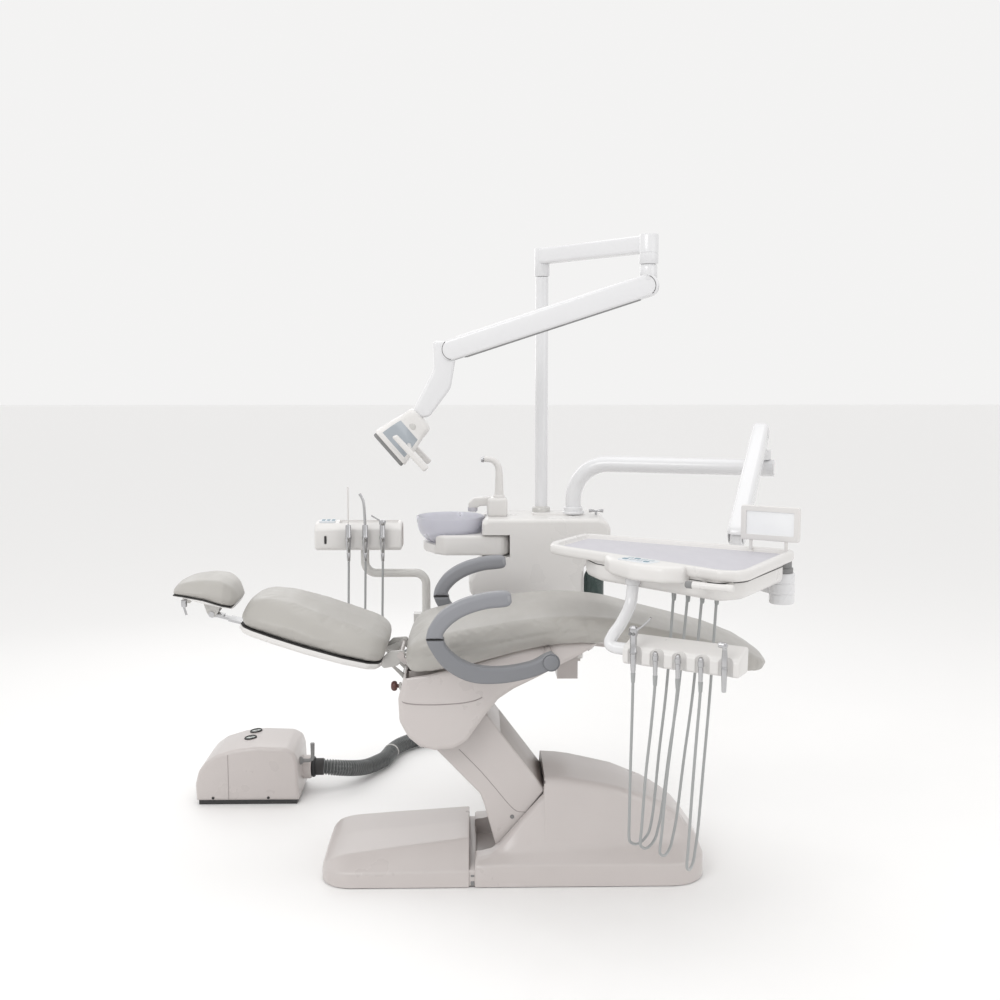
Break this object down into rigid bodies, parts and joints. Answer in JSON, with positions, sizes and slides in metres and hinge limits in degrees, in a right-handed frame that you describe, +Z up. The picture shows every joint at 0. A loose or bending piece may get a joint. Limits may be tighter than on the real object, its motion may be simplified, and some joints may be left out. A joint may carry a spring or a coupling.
{
  "type": "dental chair",
  "caption": "Reclining dental treatment chair on a parallelogram lift, with cuspidor tower, operating light, delivery tray, assistant's unit and floor junction box.",
  "frame": {"origin": "on the floor under the middle of the base plate", "axes": "+X towards the patient's feet, +Y towards the cuspidor tower, +Z up"},
  "size_m": [2.0461, 1.9289, 1.99],
  "materials": {
    "warm_shell": "gloss",
    "white_shell": "gloss",
    "white_enamel": "satin",
    "gray_enamel": "satin",
    "steel": "brushed",
    "dark_steel": "satin",
    "upholstery": "soft satin",
    "armrest_dark": "satin",
    "armrest_light": "satin",
    "black_plastic": "matte",
    "gauge_face": "gloss",
    "ribbed_hose": "satin ribs",
    "thin_hose": "satin",
    "chrome": "polished",
    "knob_brown": "satin",
    "bowl_lavender": "frosted",
    "bottle_glass": "smoked"
  },
  "bodies": {
    "base": {"base_plate": "dark_steel", "lift_bracket": "steel", "front_cover": "warm_shell", "rear_cover": "warm_shell", "lift_motor": "dark_steel", "box_base": "black_plastic", "box_cover": "warm_shell", "box_gauges": "gauge_face", "supply_hose": "ribbed_hose"},
    "valve": {"valve_lever": "gray_enamel"},
    "lift": {"lift_arm": "steel", "arm_cover": "warm_shell"},
    "link": {"upper_link": "steel"},
    "seat": {"seat_frame": "gray_enamel", "seat_casing": "warm_shell", "seat_cushion": "upholstery", "tower_body": "white_shell", "light_pole": "white_enamel", "water_bottle": "bottle_glass", "faucet_block": "white_shell"},
    "recline_knob": {"release_knob": "knob_brown"},
    "flow": {"flow_knob": "chrome"},
    "armrest_near": {"near_armrest_bracket": "armrest_dark", "near_armrest_pad": "armrest_light"},
    "armrest_far": {"far_armrest_bracket": "armrest_dark", "far_armrest_pad": "armrest_light"},
    "backrest": {"backrest_frame": "gray_enamel", "backrest_shell": "warm_shell", "backrest_cushion": "upholstery"},
    "headrest_slide": {"headrest_bar": "steel"},
    "headrest": {"headrest_shell": "warm_shell", "headrest_cushion": "upholstery"},
    "bowl_arm": {"bowl_pod": "white_shell", "bowl": "bowl_lavender"},
    "filler": {"cup_filler": "white_shell"},
    "light_beam": {"light_arm": "white_enamel"},
    "light_elbow": {"light_knuckle": "white_enamel"},
    "light_boom": {"light_boom": "white_enamel"},
    "light_yoke": {"light_yoke": "white_enamel"},
    "lamp": {"lamp_head": "white_shell"},
    "delivery_tube": {"delivery_tube": "white_enamel"},
    "delivery_yoke": {"delivery_yoke": "white_enamel"},
    "delivery_boom": {"delivery_boom": "white_enamel"},
    "delivery_hub": {"tray_hub": "white_enamel"},
    "tray": {"tray": "white_shell", "tray_handle": "white_shell", "viewer_frame": "white_shell", "holder_tube": "white_enamel", "tool_holder": "white_shell", "tray_tools": "chrome", "tray_hose_1": "thin_hose", "tray_hose_2": "thin_hose", "tray_hose_3": "thin_hose", "tray_hose_4": "thin_hose"},
    "assistant": {"assistant_arm": "gray_enamel", "assistant_holder": "white_shell", "assistant_tools": "chrome", "assistant_hose_1": "thin_hose", "assistant_hose_2": "thin_hose", "assistant_hose_3": "thin_hose"}
  },
  "joints": [
    {"name": "valve_turn", "type": "hinge", "parent": "base", "child": "valve", "pos_m": [-0.754, 0.56, 0.14], "axis": [1, 0, 0], "range_deg": [0, 90]},
    {"name": "lift_lower", "type": "hinge", "parent": "base", "child": "lift", "pos_m": [-0.004, 0, 0.185], "axis": [0, -1, 0], "range_deg": [-8, 40]},
    {"name": "link_lower", "type": "hinge", "parent": "base", "child": "link", "pos_m": [0.077, 0, 0.25], "axis": [0, -1, 0], "range_deg": [-8, 40]},
    {"name": "seat_level", "type": "hinge", "parent": "lift", "child": "seat", "pos_m": [-0.28503, 0, 0.49712], "axis": [0, -1, 0], "range_deg": [-40, 8]},
    {"name": "recline_knob_turn", "type": "hinge", "parent": "seat", "child": "recline_knob", "pos_m": [-0.35, -0.1, 0.594], "axis": [1, 0, 0], "range_deg": [0, 90]},
    {"name": "flow_turn", "type": "hinge", "parent": "seat", "child": "flow", "pos_m": [0.32, 0.6, 1.05], "axis": [0, 0, 1], "range_deg": [0, 270]},
    {"name": "near_armrest_drop", "type": "hinge", "parent": "seat", "child": "armrest_near", "pos_m": [0.1, -0.339, 0.73], "axis": [0, -1, 0], "range_deg": [0, 85]},
    {"name": "far_armrest_drop", "type": "hinge", "parent": "seat", "child": "armrest_far", "pos_m": [0.1, 0.311, 0.73], "axis": [0, -1, 0], "range_deg": [0, 85]},
    {"name": "backrest_recline", "type": "hinge", "parent": "seat", "child": "backrest", "pos_m": [-0.345, 0, 0.69], "axis": [0, 1, 0], "range_deg": [-14, 50]},
    {"name": "headrest_extend", "type": "slide", "parent": "backrest", "child": "headrest_slide", "axis": [-0.9681, 0, 0.2504], "range_m": [0, 0.12]},
    {"name": "headrest_tilt", "type": "hinge", "parent": "headrest_slide", "child": "headrest", "pos_m": [-0.935, 0, 0.806], "axis": [0, 1, 0], "range_deg": [-30, 20]},
    {"name": "bowl_swing", "type": "hinge", "parent": "seat", "child": "bowl_arm", "pos_m": [-0.038, 0.54, 0.93], "axis": [0, 0, 1], "range_deg": [0, 40]},
    {"name": "filler_turn", "type": "hinge", "parent": "seat", "child": "filler", "pos_m": [-0.03, 0.6, 1.11], "axis": [0, 0, 1], "range_deg": [-60, 60]},
    {"name": "light_turn", "type": "hinge", "parent": "seat", "child": "light_beam", "pos_m": [0.125, 0.66, 1.93], "axis": [0, 0, 1], "range_deg": [-60, 60]},
    {"name": "light_elbow_turn", "type": "hinge", "parent": "light_beam", "child": "light_elbow", "pos_m": [0.44, 0.18, 1.9], "axis": [0, 0, 1], "range_deg": [-38, 80]},
    {"name": "light_boom_tilt", "type": "hinge", "parent": "light_elbow", "child": "light_boom", "pos_m": [0.44, 0.18, 1.828], "axis": [0.1631, 0.9866, 0], "range_deg": [-10, 25]},
    {"name": "light_yoke_level", "type": "hinge", "parent": "light_boom", "child": "light_yoke", "pos_m": [-0.195, 0.285, 1.622], "axis": [0.1631, 0.9866, 0], "range_deg": [-25, 10]},
    {"name": "lamp_tilt", "type": "hinge", "parent": "light_yoke", "child": "lamp", "pos_m": [-0.322, 0.285, 1.372], "axis": [0, 1, 0], "range_deg": [-30, 40]},
    {"name": "delivery_turn", "type": "hinge", "parent": "seat", "child": "delivery_tube", "pos_m": [0.239, 0.62, 1.034], "axis": [0, 0, 1], "range_deg": [-3, 70]},
    {"name": "delivery_yoke_turn", "type": "hinge", "parent": "delivery_tube", "child": "delivery_yoke", "pos_m": [0.878, 0.414, 1.25], "axis": [0, 0, 1], "range_deg": [-2, 60]},
    {"name": "delivery_boom_tilt", "type": "hinge", "parent": "delivery_yoke", "child": "delivery_boom", "pos_m": [0.866, 0.412, 1.338], "axis": [-0.9335, 0.3587, 0], "range_deg": [-2, 30]},
    {"name": "delivery_hub_level", "type": "hinge", "parent": "delivery_boom", "child": "delivery_hub", "pos_m": [0.7, -0.02, 1.052], "axis": [-0.9335, 0.3587, 0], "range_deg": [-30, 2]},
    {"name": "tray_turn", "type": "hinge", "parent": "delivery_hub", "child": "tray", "pos_m": [0.786, -0.25, 0.95], "axis": [0, 0, 1], "range_deg": [-5, 80]},
    {"name": "assistant_turn", "type": "hinge", "parent": "seat", "child": "assistant", "pos_m": [-0.29, 0.5, 0.65], "axis": [0, 0, 1], "range_deg": [-38, 25]}
  ],
  "couplings": [
    {"joint": "link_lower", "follows": "lift_lower", "ratio": 1},
    {"joint": "seat_level", "follows": "lift_lower", "ratio": -1},
    {"joint": "light_yoke_level", "follows": "light_boom_tilt", "ratio": -1},
    {"joint": "delivery_hub_level", "follows": "delivery_boom_tilt", "ratio": -1}
  ]
}
